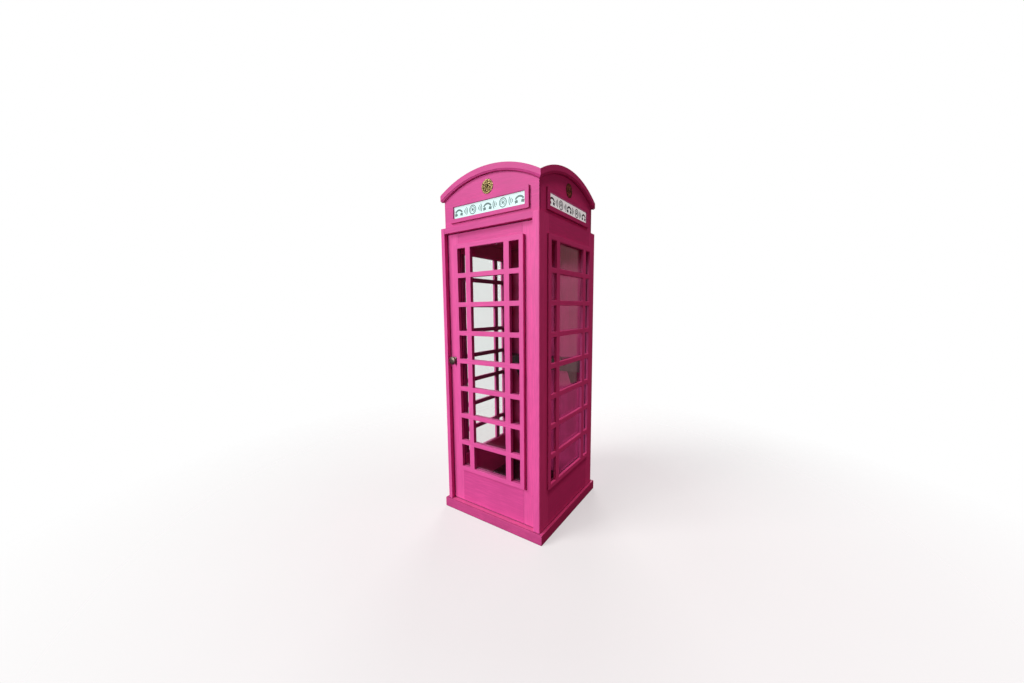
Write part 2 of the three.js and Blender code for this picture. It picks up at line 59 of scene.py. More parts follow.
PINK = (0.82, 0.112, 0.40)
# A darker copy of PINK for the parts whose strokes run level: painted shade.
PINK_LEVEL_SHADED = (0.72, 0.085, 0.34)
# A darker copy of PINK for the plinth: partly dirt, partly painted shade.
PINK_PLINTH_DIRT_AND_SHADE = (0.62, 0.078, 0.28)
# A darker copy of PINK for the inside pieces: painted shade.
PINK_DEEP_SHADE = (0.62, 0.06, 0.24)
# A paler copy of PINK for the sill: a painted highlight on the ledge.
PINK_SILL_HIGHLIGHT = (0.95, 0.16, 0.45)
EDGE_PALE = (0.88, 0.36, 0.55)
# Painted shade for the inner face of the back panel.
INSIDE_SHADE = (0.80, 0.42, 0.58)
FLOOR_BLACK = (0.006, 0.003, 0.004)
SHELF_BLACK = (0.016, 0.020, 0.018)
OPAL_WHITE = (0.30, 0.62, 0.64)
# A painted glow on the sign sheets; there is no lamp behind them.
OPAL_GLOW = (1.0, 0.97, 0.93)
OPAL_GLOW_STRENGTH = 0.48
SIGN_INK = (0.10, 0.21, 0.20)
BRASS_GOLD = (0.38, 0.30, 0.13)
CARD_WHITE = (0.62, 0.60, 0.52)
PEWTER_GREY = (0.30, 0.26, 0.215)
STEEL_GREY = (0.45, 0.45, 0.44)
PLASTIC_BLACK = (0.010, 0.010, 0.011)

FACE_TURN = {"front": 0.0, "back": 180.0, "left": -90.0, "right": 90.0}   # degrees about Z
STRETCH = {"x": (0.06, 1, 1), "y": (1, 0.06, 1), "z": (1, 1, 0.06)}
FINE_STRETCH = {"x": (0.02, 1, 1), "y": (1, 0.02, 1), "z": (1, 1, 0.02)}
GLASS_MIRROR = 0.04
GLASS_NODES = ("glass_left", "glass_right", "door_glass")
EDGE_ROUND = 0.0016
EDGE_BOLD = 0.003
EDGE_SOFT = 0.002
EDGE_SHEET = 0.0006
EDGE_LEAF = 0.0004
WELD = 0.00002
GRIME_HEIGHT = 0.09
AXIS = 0.0001                                 # where a turned profile starts, next to its axis

FLOOR_FADE = (1.3, 3.6)                       # the floor is solid up to one radius, gone at the other
FLOOR_GLOW = 0.55
FLOOR_WHITE = ((0.93, 0.93, 0.93), (0.96, 0.96, 0.96))
FLOOR_BOUNCE = (0.20, 0.04, 0.07)             # the colour that the floor throws back at the booth
WORLD_TINT = (1.0, 0.50, 0.58)
WORLD_STRENGTH = 0.08
SUNS = (                                      # name, source, energy, width in degrees, colour
    ("key", (-7.5, -10.0, 9.0), 1.7, 24, (1.0, 0.98, 0.97)),
    ("side_rim", (1.0, -0.3, 3.4), 1.15, 14, (1.0, 0.52, 0.50)),
)
LAMPS = (                                     # name, place, target, size, watts, colour
    ("window", (-2.8, -10.8, 3.3), (0, 0, 1.2), (4.8, 2.4), 770, (1.0, 0.98, 0.97)),
    ("overhead", (0.3, 0.6, 6.5), (0, 0, 0), (3.0, 3.0), 60, (1.0, 0.97, 0.97)),
    ("side_fill", (5.0, 0.6, 2.5), (0, 0, 1.6), (2.5, 2.5), 25, (1.0, 0.20, 0.40)),
    ("veil", (3.6, 6.2, 1.9), (0.4, 0, 1.4), (4.0, 5.0), 24, (1.0, 0.42, 0.48)),
    ("back_soft", (-2.6, 5.0, 2.8), (0, 0, 1.2), (2.5, 2.5), 170, (1.0, 0.96, 0.96)),
)

LATTICE_BEAD = 0.032                          # face widths of the glazing frame and of its bars
LATTICE_BAR = 0.033
LATTICE_ROWS = 8
BEAD = {"width": 0.0115, "round": 0.007, "lap": 0.0004}
BEAD_DEPTH = {"door": 0.014, "left": 0.0098, "right": 0.0098}

ORNAMENT = {
    "petals": 8, "rings": 44, "turns": 128,
    "base": 0.002, "rim": 0.0026, "petal": 0.0062, "boss": 0.011,
}
SIGN_CELL = 0.0625
SIGN_ROW = ("handset", "waves", "dial", "waves", "handset", "waves", "dial", "waves", "handset")
SIGN_STROKE = 0.0055
SIGN_WAVES = {"radii": (0.014, 0.027, 0.040), "back": 0.024, "half_angle": 38}
SIGN_DIAL = {"ring": 0.0275, "hub": 0.0085, "dots": 0.0175, "dot": 0.0035, "first_dot": -60}
SIGN_GRIP = {"drop": 0.018, "radius": 0.034, "width": 0.0115, "ends": (30, 150)}
SIGN_CUP = ((0.016, -0.004), (0.036, -0.007), (0.033, -0.025), (0.010, -0.020))
INK_THICK = 0.0006

LEAF = {"plate": 0.0025, "flat": 0.012, "screw": 0.003, "spacing": 0.032}   # hinge leaves
STRIKE = {"screw": 0.0035, "inset": 0.010}
SCREW = {"proud": 0.0004, "sunk": 0.0012, "slot": 0.16, "first_turn": 25, "next_turn": 67}

PHONE = {"height": 0.088, "nose": 0.028, "slope": 0.058, "corner": 0.009, "edge": 0.007, "foot": 0.003}
FOOT_INSET = (0.018, 0.016)
FOOT_PROFILE = ((AXIS, 0.0), (0.0085, 0.0), (0.0095, 0.0008), (0.0090, 0.006), (AXIS, 0.006))
SADDLE = {"half": (0.060, 0.020), "corner": 0.010, "half_height": 0.004, "edge": 0.0025}
HORN = {"spot": (0.042, 0.0175), "half": (0.0060, 0.0040), "height": 0.024, "sunk": 0.002}
HORN_WAIST = ((0.0, 1.0), (0.5, 0.82), (0.85, 0.86), (0.96, 0.72), (1.0, 0.45))

DIAL = {"radius": 0.035, "thick": 0.0036, "edge": 0.0008, "ring": 0.026, "hole": 0.0055, "places": 10}
DIAL_STEP = 30                                # degrees from one finger hole to the next
DIAL_HUB = ((AXIS, 0.0030), (0.0155, 0.0030), (0.0155, 0.0046), (0.0145, 0.0054), (AXIS, 0.0056))
DIAL_LABEL = ((AXIS, 0.0052), (0.0125, 0.0052), (0.0122, 0.0059), (AXIS, 0.0060))
DIAL_PLATE = ((AXIS, -0.0040), (0.0345, -0.0040), (0.0345, -0.0014), (AXIS, -0.0012))
DIAL_BEZEL = (
    (0.0330, -0.0045), (0.0385, -0.0045), (0.0395, -0.0020), (0.0385, 0.0006),
    (0.0365, 0.0010), (0.0358, -0.0006), (0.0330, -0.0008),
)
DIGIT = {"size": 0.0085, "half_thick": 0.0002, "level": -0.0010}
STOP = {
    "edge": 0.0004, "arm_corner": 0.0015, "arm_half": 0.0006, "arm_level": 0.0048,
    "post_corner": 0.0006, "post_half": 0.0035, "post_level": 0.0018,
}
STOP_ARM = ((0.0240, -0.0265), (0.0345, -0.0335), (0.0365, -0.0305), (0.0262, -0.0240))
STOP_POST = ((0.0360, -0.0332), (0.0384, -0.0312), (0.0368, -0.0292), (0.0344, -0.0312))

CUP_RADIUS = 0.0270
CUP_PROFILE = (
    (AXIS, 0.0016), (0.0215, 0.0016), (0.0225, 0.0), (0.0258, 0.0), (CUP_RADIUS, 0.0012),
    (0.0268, 0.0075), (0.0255, 0.0082), (0.0255, 0.0098), (0.0262, 0.0104), (0.0248, 0.0180),
    (0.0212, 0.0262), (0.0150, 0.0325), (0.0060, 0.0352), (AXIS, 0.0356),
)
GRIP = {
    "stations": 48, "sides": 24, "past_cup": 0.017, "closing": 0.80, "tip": 0.04,
    "top": 0.0438, "top_drop": 0.0125, "under": 0.0262, "under_drop": 0.0150, "straight": 0.45,
    "half_width": 0.0112, "flare": 0.0065, "squareness": 0.8,
}


# ---------- shader building ----------
class Nodes:
    """A small helper that adds and links the nodes of one material."""

    def __init__(self, name):
        self.material = bpy.data.materials.new(name)
        self.material.use_nodes = True
        self.tree = self.material.node_tree
        self.tree.nodes.clear()
        self.output = self.tree.nodes.new("ShaderNodeOutputMaterial")

    def add(self, kind, inputs=None, **settings):
        node = self.tree.nodes.new(kind)
        for key, value in settings.items():
            setattr(node, key, value)
        for key, value in (inputs or {}).items():
            if isinstance(value, bpy.types.NodeSocket):
                self.tree.links.new(value, node.inputs[key])
            else:
                node.inputs[key].default_value = value
        return node

    def surface(self, socket):
        self.tree.links.new(socket, self.output.inputs["Surface"])
        return self.material

    def noise(self, scale, detail=4.0, stretch=(1, 1, 1), roughness=0.6, distortion=0.0):
        place = self.add("ShaderNodeTexCoord").outputs["Object"]
        mapped = self.add("ShaderNodeMapping", {"Vector": place, "Scale": stretch})
        noise = self.add("ShaderNodeTexNoise", {
            "Vector": mapped.outputs[0], "Scale": scale, "Detail": detail,
            "Roughness": roughness, "Distortion": distortion,
        })
        return noise.outputs["Fac"]

    def span(self, value, low, high, to_low=0.0, to_high=1.0):
        return self.add("ShaderNodeMapRange", {
            "Value": value, "From Min": low, "From Max": high,
            "To Min": to_low, "To Max": to_high,
        }).outputs[0]

    def mix(self, share, first, second, how="MIX"):
        node = self.add("ShaderNodeMix", data_type="RGBA", blend_type=how)
        for index, value in ((0, share), (6, first), (7, second)):
            if isinstance(value, bpy.types.NodeSocket):
                self.tree.links.new(value, node.inputs[index])
            elif index == 0:
                node.inputs[index].default_value = value
            else:
                node.inputs[index].default_value = (*value, 1.0)
        return node.outputs[2]

    def maths(self, what, first, second=0.0):
        node = self.add("ShaderNodeMath", {0: first, 1: second}, operation=what)
        return node.outputs[0]

    def blend(self, share, first, second):
        """A number between two others."""
        return self.add("ShaderNodeMix", {0: share, 2: first, 3: second}, data_type="FLOAT").outputs[0]

    def worn_edges(self):
        """Share of paint rubbed pale, on sharp edges and only in places."""
        soft = self.add("ShaderNodeBevel", {"Radius": EDGE_ROUND * 1.6}, samples=4).outputs[0]
        true = self.add("ShaderNodeNewGeometry").outputs["Normal"]
        same = self.add("ShaderNodeVectorMath", {0: soft, 1: true}, operation="DOT_PRODUCT")
        edge = self.span(same.outputs["Value"], 0.97, 0.80)
        rubbed = self.span(self.noise(38.0, 5.0), 0.50, 0.66, 0.0, 0.6)
        return self.maths("MULTIPLY", edge, rubbed)

    def floor_grime(self):
        """Share of dirt and scuffs, which fades out at GRIME_HEIGHT above the floor."""
        place = self.add("ShaderNodeTexCoord").outputs["Object"]
        height = self.add("ShaderNodeSeparateXYZ", {0: place}).outputs[2]
        low = self.span(height, 0.0, GRIME_HEIGHT, 0.40, 0.0)
        scuffs = self.span(self.noise(22.0, 6.0, (1, 1, 1.6), 0.7), 0.42, 0.72)
        return self.maths("MULTIPLY", low, scuffs)

    def bump(self, height, strength, distance, normal=None):
        inputs = {"Height": height, "Strength": strength, "Distance": distance}
        if normal is not None:
            inputs["Normal"] = normal
        return self.add("ShaderNodeBump", inputs).outputs[0]


def shade(colour, factor):
    return tuple(min(1.0, c * factor) for c in colour)


def brush_marks(n, along):
    """Broad strokes and fine bristle lines of a coat laid along one axis."""
    strokes = n.noise(150.0, 6.0, STRETCH[along], 0.7)
    bristles = n.noise(620.0, 4.0, FINE_STRETCH[along], 0.65)
    return strokes, bristles


def paint_coat(name, colour, strokes_of, roughness, inside=None):
    """Satin paint over timber: brushed, rubbed pale on its edges, darkened by painted shade in joints and
    recesses, and dirty near the floor.
    """
    n = Nodes(name)
    strokes, bristles = strokes_of(n)
    patches = n.noise(3.2, 3.0, (1, 1, 1), 0.55, 0.4)
    tone = n.mix(n.span(strokes, 0.38, 0.62), shade(colour, 0.88), shade(colour, 1.12))
    tone = n.mix(n.span(bristles, 0.42, 0.62, 0.0, 0.55), tone, shade(colour, 0.82))
    tone = n.mix(n.span(patches, 0.35, 0.7, 0.0, 0.5), tone, shade(colour, 0.80))
    # Painted shade: the part nearer the front than `inside` is tinted darker.
    if inside is not None:
        place = n.add("ShaderNodeTexCoord").outputs["Object"]
        depth = n.add("ShaderNodeSeparateXYZ", {0: place}).outputs[1]
        tone = n.mix(n.maths("LESS_THAN", depth, inside), tone, INSIDE_SHADE, "MULTIPLY")
    tone = n.mix(n.worn_edges(), tone, EDGE_PALE)
    tone = n.mix(n.floor_grime(), tone, shade(colour, 0.35))
    # Painted shade: the paint darkens where nearby parts hem the surface in, in joints, creases and
    # recesses.
    open_share = n.add("ShaderNodeAmbientOcclusion", {"Distance": 0.012}, samples=6).outputs["AO"]
    tone = n.mix(n.span(open_share, 0.35, 0.85), shade(colour, 0.42), tone)
    gloss = n.span(strokes, 0.3, 0.7, roughness - 0.09, roughness + 0.10)
    relief = n.bump(strokes, 0.45, 0.0008)
    relief = n.bump(bristles, 0.45, 0.0003, relief)
    paint = n.add("ShaderNodeBsdfPrincipled", {
        "Base Color": tone, "Roughness": gloss, "Normal": relief,
        "Specular IOR Level": 0.20,
    })
    return n.surface(paint.outputs[0])


def brushed_paint(name, colour, along, roughness=0.48, inside=None):
    """Paint with strokes along one axis, and painted shade, a darker tint, nearer the front than `inside`.
    """
    return paint_coat(name, colour, lambda n: brush_marks(n, along), roughness, inside)


def lattice_paint(name, colour, node, level, roughness=0.48):
    """Paint on glazing bars: strokes run along the level bars, and upright everywhere else."""
    low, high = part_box(node)
    across = "xyz".index(level)
    middle = (low[across] + high[across]) / 2
    half = (high[across] - low[across]) / 2 - LATTICE_BEAD
    bottom, top = low.z + LATTICE_BEAD, high.z - LATTICE_BEAD
    pitch = (top - bottom + LATTICE_BAR) / LATTICE_ROWS

    def marks(n):
        place = n.add("ShaderNodeTexCoord").outputs["Object"]
        split = n.add("ShaderNodeSeparateXYZ", {0: place})
        offset = n.maths("SUBTRACT", split.outputs[across], middle)
        within = n.maths("LESS_THAN", n.maths("ABSOLUTE", offset), half)
        row = n.maths("MODULO", n.maths("SUBTRACT", split.outputs[2], bottom - pitch), pitch)
        on_bar = n.maths("GREATER_THAN", row, pitch - LATTICE_BAR)
        inside = n.maths("MULTIPLY", within, on_bar)
        outside = n.maths("GREATER_THAN", n.maths("ABSOLUTE", n.maths(
            "SUBTRACT", split.outputs[2], (bottom + top) / 2)), (top - bottom) / 2)
        share = n.maths("MAXIMUM", inside, n.maths("MULTIPLY", within, outside))
        level_marks, upright_marks = brush_marks(n, level), brush_marks(n, "z")
        return [n.blend(share, *pair) for pair in zip(upright_marks, level_marks)]

    return paint_coat(name, colour, marks, roughness)


def clear_glass(name):
    """A clear pane that mirrors most at a slant, with faint smears."""
    n = Nodes(name)
    smears = n.noise(9.0, 6.0, (1, 1, 0.5), 0.7, 0.6)
    mirror = n.add("ShaderNodeBsdfPrincipled", {
        "Base Color": (0.93, 0.94, 0.94, 1.0), "Metallic": 1.0,
        "Roughness": n.span(smears, 0.3, 0.8, 0.02, 0.07),
    })
    through = n.add("ShaderNodeBsdfTransparent", {"Color": (0.965, 0.975, 0.97, 1.0)})
    facing = n.add("ShaderNodeLayerWeight", {"Blend": 0.5}).outputs["Facing"]
    slant = n.add("ShaderNodeMath", {0: facing, 1: 5.0}, operation="POWER").outputs[0]
    share = n.span(slant, 0.0, 1.0, GLASS_MIRROR, 1.0)
    pane = n.add("ShaderNodeMixShader", {0: share, 1: through.outputs[0], 2: mirror.outputs[0]})
    return n.surface(pane.outputs[0])


def metal(name, colour, roughness, tarnish, hollow=0.002):
    """Metal with cloudy tarnish, darkest in its hollows."""
    n = Nodes(name)
    cloud = n.noise(60.0, 5.0, (1, 1, 1), 0.6)
    fine = n.noise(900.0, 2.0)
    tone = n.mix(n.span(cloud, 0.35, 0.65), shade(colour, tarnish), colour)
    open_share = n.add("ShaderNodeAmbientOcclusion", {"Distance": hollow}, samples=8).outputs["AO"]
    tone = n.mix(n.span(open_share, 0.45, 0.95), shade(colour, 0.10), tone)
    body = n.add("ShaderNodeBsdfPrincipled", {
        "Base Color": tone, "Metallic": 1.0,
        "Roughness": n.span(cloud, 0.3, 0.7, roughness + 0.15, roughness - 0.05),
        "Normal": n.bump(fine, 0.15, 0.0002),
    })
    return n.surface(body.outputs[0])


def opal_sheet(name):
    """A translucent white sheet with a painted glow, which makes it brighter than its surface; there is no
    lamp behind it.
    """
    n = Nodes(name)
    cloud = n.noise(5.0, 4.0)
    dust = n.noise(260.0, 3.0)
    tone = n.mix(n.span(cloud, 0.35, 0.7), OPAL_WHITE, shade(OPAL_WHITE, 0.90))
    # The emission is a painted glow, not light from a lamp.
    sheet = n.add("ShaderNodeBsdfPrincipled", {
        "Base Color": tone, "Roughness": n.span(dust, 0.3, 0.7, 0.18, 0.32),
        "Emission Color": (*OPAL_GLOW, 1.0), "Emission Strength": OPAL_GLOW_STRENGTH,
    })
    return n.surface(sheet.outputs[0])


def plain_coat(name, colour, roughness, mottle=0.75, bump=0.0004, scale=180.0, gloss=0.5):
    """A dark or pale coat with wide clouds of tone and a fine speckle in its gloss."""
    n = Nodes(name)
    speckle = n.noise(scale, 5.0)
    wide = n.noise(7.0, 3.0)
    tone = n.mix(n.span(wide, 0.35, 0.7), shade(colour, mottle), shade(colour, 1.1))
    coat = n.add("ShaderNodeBsdfPrincipled", {
        "Base Color": tone,
        "Roughness": n.span(speckle, 0.3, 0.7, roughness - 0.06, roughness + 0.08),
        "Normal": n.bump(speckle, 0.2, bump), "Specular IOR Level": gloss,
    })
    return n.surface(coat.outputs[0])


# ---------- camera, floor and light ----------
def place_camera():
    data = bpy.data.cameras.new("photo_camera")
    data.lens = CAMERA_LENS
    data.sensor_width = 36.0
    data.shift_x, data.shift_y = CAMERA_SHIFT
    camera = bpy.data.objects.new("photo_camera", data)
    level = math.cos(CAMERA_PITCH)
    forward = Vector((
        -math.sin(CAMERA_AZIMUTH) * level,
        math.cos(CAMERA_AZIMUTH) * level,
        -math.sin(CAMERA_PITCH),
    ))
    right = Vector((math.cos(CAMERA_AZIMUTH), math.sin(CAMERA_AZIMUTH), 0.0))
    turn = Matrix.Rotation(-CAMERA_ROLL, 3, forward)
    right = turn @ right
    up = right.cross(forward)
    axes = Matrix((right, up, -forward)).transposed().to_4x4()
    camera.matrix_world = Matrix.Translation(CAMERA_PLACE) @ axes
    bpy.context.scene.collection.objects.link(camera)
    bpy.context.scene.camera = camera


def sun_light(name, source, energy, width, colour):
    data = bpy.data.lights.new(name, "SUN")
    data.energy = energy
    data.angle = math.radians(width)
    data.color = colour
    light = bpy.data.objects.new(name, data)
    light.rotation_euler = Vector(source).to_track_quat("Z", "Y").to_euler()
    bpy.context.scene.collection.objects.link(light)
    return light


def area_light(name, place, target, size, power, colour):
    data = bpy.data.lights.new(name, "AREA")
    data.shape = "RECTANGLE"
    data.size, data.size_y = size
    data.energy = power
    data.color = colour
    light = bpy.data.objects.new(name, data)
    light.location = place
    light.rotation_euler = (Vector(target) - Vector(place)).to_track_quat("-Z", "Y").to_euler()
    light.visible_camera = False
    bpy.context.scene.collection.objects.link(light)
    return light


def link_light(light, nodes, state="INCLUDE"):
    """Lets a light reach only these nodes, or every object but these."""
    group = bpy.data.collections.new(f"{light.name}_receivers")
    for node in nodes:
        group.objects.link(frame["nodes"][node])
    for entry in group.collection_objects:
        entry.light_linking.link_state = state
    light.light_linking.receiver_collection = group


def light_world():
    """White behind the booth for the camera, and a dim pink light for everything else."""
    world = bpy.data.worlds.new("studio")
    world.use_nodes = True
    tree = world.node_tree
    tree.nodes.clear()
    path = tree.nodes.new("ShaderNodeLightPath")
    seen = tree.nodes.new("ShaderNodeBackground")
    seen.inputs["Color"].default_value = (1.0, 1.0, 1.0, 1.0)
    dim = tree.nodes.new("ShaderNodeBackground")
    dim.inputs["Color"].default_value = (*WORLD_TINT, 1.0)
    dim.inputs["Strength"].default_value = WORLD_STRENGTH
    mix = tree.nodes.new("ShaderNodeMixShader")
    output = tree.nodes.new("ShaderNodeOutputWorld")
    tree.links.new(path.outputs["Is Camera Ray"], mix.inputs[0])
    tree.links.new(dim.outputs[0], mix.inputs[1])
    tree.links.new(seen.outputs[0], mix.inputs[2])
    tree.links.new(mix.outputs[0], output.inputs["Surface"])
    bpy.context.scene.world = world


def add_lights():
    """Suns and lamps. Three of them reach only a part of the booth, or spare its glass."""
    lights = {}
    for name, source, energy, width, colour in SUNS:
        lights[name] = sun_light(name, source, energy, width, colour)
    for name, place, target, size, power, colour in LAMPS:
        lights[name] = area_light(name, place, target, size, power, colour)
    link_light(lights["side_rim"], [node for node in frame["nodes"] if node.endswith("_right")])
    link_light(lights["window"], GLASS_NODES, "EXCLUDE")
    link_light(lights["veil"], GLASS_NODES)


def add_floor():
    """A pale round floor that fades out into the white background."""
    n = Nodes("studio_floor")
    path = n.add("ShaderNodeLightPath").outputs["Is Camera Ray"]
    cloud = n.noise(0.8, 2.0)
    pale = n.mix(n.span(cloud, 0.3, 0.7), *FLOOR_WHITE)
    tone = n.mix(path, FLOOR_BOUNCE, pale)
    matt = n.add("ShaderNodeBsdfDiffuse", {"Color": tone})
    glow = n.add("ShaderNodeEmission", {"Strength": 1.0})
    glow_share = n.add("ShaderNodeMath", {0: path, 1: FLOOR_GLOW}, operation="MULTIPLY").outputs[0]
    matt = n.add("ShaderNodeMixShader", {0: glow_share, 1: matt.outputs[0], 2: glow.outputs[0]})
    place = n.add("ShaderNodeTexCoord").outputs["Object"]
    reach = n.add("ShaderNodeVectorMath", {0: place}, operation="LENGTH").outputs["Value"]
    fade = n.span(reach, *FLOOR_FADE)
    gone = n.add("ShaderNodeBsdfTransparent")
    whole = n.add("ShaderNodeMixShader", {0: fade, 1: matt.outputs[0], 2: gone.outputs[0]})
    bpy.ops.mesh.primitive_circle_add(vertices=96, radius=FLOOR_FADE[1] + 0.5, fill_type="NGON")
    floor = bpy.context.object
    floor.name = "studio_floor"
    floor.data.materials.append(n.surface(whole.outputs[0]))


# ---------- mesh building ----------
def face_frame(node, turn, outer=False):
    """Axes at a node on one side of the booth: u to the right, v up, w outwards.
    The origin is in the middle of the node's inner face, or of its outer one."""
    low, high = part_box(node)
    angle = math.radians(turn)
    right = Vector((math.cos(angle), math.sin(angle), 0.0))
    out = Vector((math.sin(angle), -math.cos(angle), 0.0))
    depth = abs(out.dot(high - low)) / 2
    origin = (low + high) / 2 + out * (depth if outer else -depth)
    axes = Matrix((right, (0, 0, 1), out)).transposed().to_4x4()
    return Matrix.Translation(origin) @ axes


def add_piece(name, vertices, faces, material, body, place=None, smooth=True):
    """Makes a closed mesh piece that rides on a body, with the material given."""
    mesh = bpy.data.meshes.new(name)
    mesh.from_pydata([tuple(v) for v in vertices], [], faces)
    if place is not None:
        mesh.transform(place)
    tidy = bmesh.new()
    tidy.from_mesh(mesh)
    bmesh.ops.remove_doubles(tidy, verts=tidy.verts, dist=WELD / 4)
    bmesh.ops.recalc_face_normals(tidy, faces=tidy.faces)
    tidy.to_mesh(mesh)
    tidy.free()
    for face in mesh.polygons:
        face.use_smooth = smooth
    mesh.materials.append(material)
    piece = bpy.data.objects.new(name, mesh)
    bpy.context.scene.collection.objects.link(piece)
    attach(piece, body)
    return piece


class Shape:
    """Vertices and faces gathered from several closed forms."""

    def __init__(self):
        self.vertices = []
        self.faces = []

    def take(self, vertices, faces, place=None):
        first = len(self.vertices)
        moved = [place @ Vector(v) if place is not None else Vector(v) for v in vertices]
        self.vertices.extend(moved)
        self.faces.extend([[first + i for i in face] for face in faces])
        return self

    def piece(self, name, material, body, slot, place=None, smooth=True):
        return add_piece(name, self.vertices, self.faces, material, body, place, smooth)


def rings(loops, closed_ends=True):
    """Joins equal loops of points, in order, into one skin."""
    count = len(loops[0])
    vertices = [point for loop in loops for point in loop]
    faces = []
    for k in range(len(loops) - 1):
        for i in range(count):
            a, b = k * count + i, k * count + (i + 1) % count
            faces.append([a, b, b + count, a + count])
    if closed_ends:
        last = (len(loops) - 1) * count
        faces.append(list(range(count))[::-1])
        faces.append([last + i for i in range(count)])
    return vertices, faces


def turned(profile, segments=64):
    """A turned form: profile is a list of (radius, height), its ends near the axis."""
    loops = []
    for radius, height in profile:
        angles = [2 * math.pi * i / segments for i in range(segments)]
        loops.append([(radius * math.cos(a), radius * math.sin(a), height) for a in angles])
    return rings(loops)


def ring_form(section, segments):
    """A ring turned about w from a closed section of (radius, height)."""
    loops = []
    for i in range(segments + 1):
        angle = 2 * math.pi * i / segments
        loops.append([(r * math.cos(angle), r * math.sin(angle), h) for r, h in section])
    return rings(loops, closed_ends=False)


def rounded(profile, radius, steps=4):
    """Rounds the corners between the two ends of an open profile."""
    points = [Vector(profile[0])]
    for before, corner, after in zip(profile, profile[1:], profile[2:]):
        corner = Vector(corner)
        to_before = Vector(before) - corner
        to_after = Vector(after) - corner
        reach = min(radius, to_before.length * 0.45, to_after.length * 0.45)
        start = corner + to_before.normalized() * reach
        end = corner + to_after.normalized() * reach
        for i in range(steps + 1):
            t = i / steps
            points.append(start * (1 - t) ** 2 + corner * 2 * t * (1 - t) + end * t ** 2)
    points.append(Vector(profile[-1]))
    return [tuple(p) for p in points]


def flat_solid(outlines, low, high):
    """Plain closed plates, one for each outline of (u, v) points."""
    shape = Shape()
    for outline in outlines:
        loops = [[(u, v, level) for u, v in outline] for level in (low, high)]
        shape.take(*rings(loops))
    return shape


def arc_points(centre, radius, start, end, steps):
    """Points along an arc, with its angles in degrees."""
    turns = [math.radians(start + (end - start) * i / steps) for i in range(steps + 1)]
    return [(centre[0] + radius * math.cos(t), centre[1] + radius * math.sin(t)) for t in turns]


def disc(centre, radius, steps=24):
    """Points round a whole circle."""
    return arc_points(centre, radius, 0.0, 360.0 * (steps - 1) / steps, steps - 1)


def arc_band(centre, radius, width, start, end, steps=20):
    """The outline of a band that follows an arc."""
    outer = arc_points(centre, radius + width / 2, start, end, steps)
    inner = arc_points(centre, radius - width / 2, start, end, steps)
    return outer + inner[::-1]


def mitred_frame(half_u, half_v, section):
    """A frame with mitred corners. The section is a list of (inwards, outwards) points."""
    corners = [(-1, -1), (1, -1), (1, 1), (-1, 1)]
    loops = []
    for su, sv in corners:
        loops.append([(su * (half_u - inward), sv * (half_v - inward), w) for inward, w in section])
    loops.append(loops[0])
    return rings(loops, closed_ends=False)


# ---------- carried-over CAD nodes ----------
def dress(node, material, bevel=EDGE_ROUND, segments=2):
    """Gives a CAD node its finish, and rounds its edges without changing its mesh."""
    piece = frame["nodes"][node]
    piece.data.materials.clear()
    piece.data.materials.append(material)
    weld = piece.modifiers.new("weld", "WELD")
    weld.merge_threshold = WELD
    if bevel:
        rounding = piece.modifiers.new("edges", "BEVEL")
        rounding.width = bevel
        rounding.segments = segments
        rounding.limit_method = "ANGLE"
        rounding.angle_limit = math.radians(40)
        rounding.harden_normals = False
        rounding.use_clamp_overlap = True
    for face in piece.data.polygons:
        face.use_smooth = False
    return piece


def make_finishes():
    """The shared finishes, by name. Paint named after an axis has its strokes along that axis."""
    finish = {"z": brushed_paint("pink_paint_z", PINK, "z")}
    for axis in "xy":
        # The level-stroked paint is a darker copy of the pink: painted shade.
        finish[axis] = brushed_paint(f"pink_paint_{axis}", PINK_LEVEL_SHADED, axis)
        # The plinth paint is darker, partly for dirt and partly as painted shade.
        finish[f"plinth_{axis}"] = brushed_paint(f"plinth_paint_{axis}", PINK_PLINTH_DIRT_AND_SHADE, axis)
    # The sill paint is a paler copy of the pink: a painted highlight.
    finish["sill"] = brushed_paint("sill_paint_highlight", PINK_SILL_HIGHLIGHT, "x")
    # The inner paint is a darker copy of the pink: painted shade.
    finish["inner"] = brushed_paint("inner_paint_shade_y", PINK_DEEP_SHADE, "y", 0.5)
    finish["shelf"] = plain_coat("shelf_black", SHELF_BLACK, 0.45)
    finish["floor"] = plain_coat(
        "floor_black", FLOOR_BLACK, 0.75, mottle=0.6, bump=0.0008, scale=90.0, gloss=0.2)
    finish["glass"] = clear_glass("booth_glass")
    finish["opal"] = opal_sheet("sign_opal")
    finish["ink"] = plain_coat("sign_ink", SIGN_INK, 0.4, mottle=0.7, bump=0.0001)
    finish["card"] = plain_coat("dial_card", CARD_WHITE, 0.35, mottle=0.9, bump=0.0001)
    finish["plastic"] = plain_coat(
        "phone_plastic", PLASTIC_BLACK, 0.2, mottle=0.9, bump=0.0001, scale=600.0)
    finish["brass"] = metal("brass", BRASS_GOLD, 0.38, tarnish=0.45, hollow=0.006)
    finish["pewter"] = metal("pewter", PEWTER_GREY, 0.3, tarnish=0.4)
    finish["steel"] = metal("steel", STEEL_GREY, 0.35, tarnish=0.8)
    return finish


def dress_faces(finish):
    """Plinth and sign box, the same on all four sides."""
    for side in FACE_TURN:
        axis = "x" if side in ("front", "back") else "y"
        dress(f"plinth_{side}", finish[f"plinth_{axis}"], EDGE_BOLD)
        dress(f"fascia_{side}", finish[axis])
        dress(f"arch_moulding_{side}", finish[axis], EDGE_SOFT)
        dress(f"sign_panel_{side}", finish["opal"], EDGE_SHEET)
        add_ornament(side, finish["brass"])
        add_sign_graphic(side, finish["ink"])


